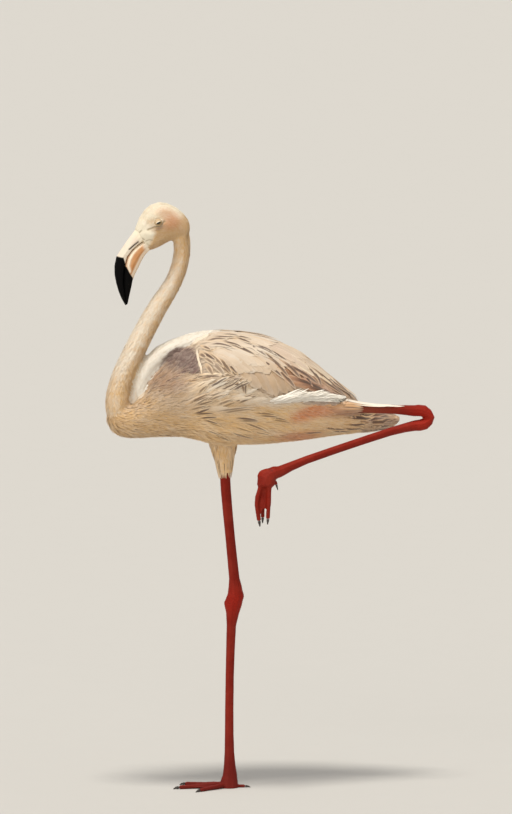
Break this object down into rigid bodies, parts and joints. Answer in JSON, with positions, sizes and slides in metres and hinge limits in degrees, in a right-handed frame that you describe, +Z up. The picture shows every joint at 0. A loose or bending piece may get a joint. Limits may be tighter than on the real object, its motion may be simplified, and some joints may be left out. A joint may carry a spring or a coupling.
{
  "type": "flamingo model",
  "caption": "Life-size still model of a pale young flamingo resting on one leg, the other folded up beside the tail, neck curved and bill hanging.",
  "frame": {"origin": "the middle of the flat under the standing foot's pad, on the ground", "axes": "+Z up along the standing leg; the bird faces -X, so +X points from the breast to the tail; +Y is the bird's right"},
  "size_m": [0.53, 0.2078, 0.9469],
  "materials": {
    "plumage": "soft cream feathers, warmer on the neck and belly, with brown shaft streaks on the flanks",
    "wing_plumage": "cream to rusty brown covert and flight feathers with dark shaft streaks",
    "tail_plumage": "tan tail feathers streaked brown-black",
    "leg_skin": "brick-red scaly leg skin, slightly glossy",
    "bill": "pale horn with a jet-black tip, satin",
    "claw": "dark horn",
    "eye": "wet dark eye"
  },
  "bodies": {
    "root": {"wing_left": "wing_plumage", "wing_right": "wing_plumage", "trunk": "plumage", "tail": "tail_plumage", "head": "plumage", "eye_left": "eye", "eye_right": "eye", "bill_upper": "bill", "bill_lower": "bill", "neck_top": "plumage", "neck_upper": "plumage", "neck_lower": "plumage", "neck_base": "plumage", "neck_root": "plumage", "thigh_right": "plumage", "shank_right": "leg_skin", "ankle_right": "leg_skin", "tarsus_right": "leg_skin", "thigh_left": "plumage", "shank_left": "leg_skin", "ankle_left": "leg_skin", "tarsus_left": "leg_skin", "foot_right": "leg_skin", "toe_right_middle": "leg_skin", "claw_right_middle": "claw", "toe_right_inner": "leg_skin", "claw_right_inner": "claw", "toe_right_outer": "leg_skin", "claw_right_outer": "claw", "toe_right_hind": "leg_skin", "claw_right_hind": "claw", "web_right_inner": "leg_skin", "web_right_outer": "leg_skin", "foot_left": "leg_skin", "toe_left_middle": "leg_skin", "claw_left_middle": "claw", "toe_left_inner": "leg_skin", "claw_left_inner": "claw", "toe_left_outer": "leg_skin", "claw_left_outer": "claw", "toe_left_hind": "leg_skin", "claw_left_hind": "claw", "web_left_inner": "leg_skin", "web_left_outer": "leg_skin"}
  },
  "joints": []
}
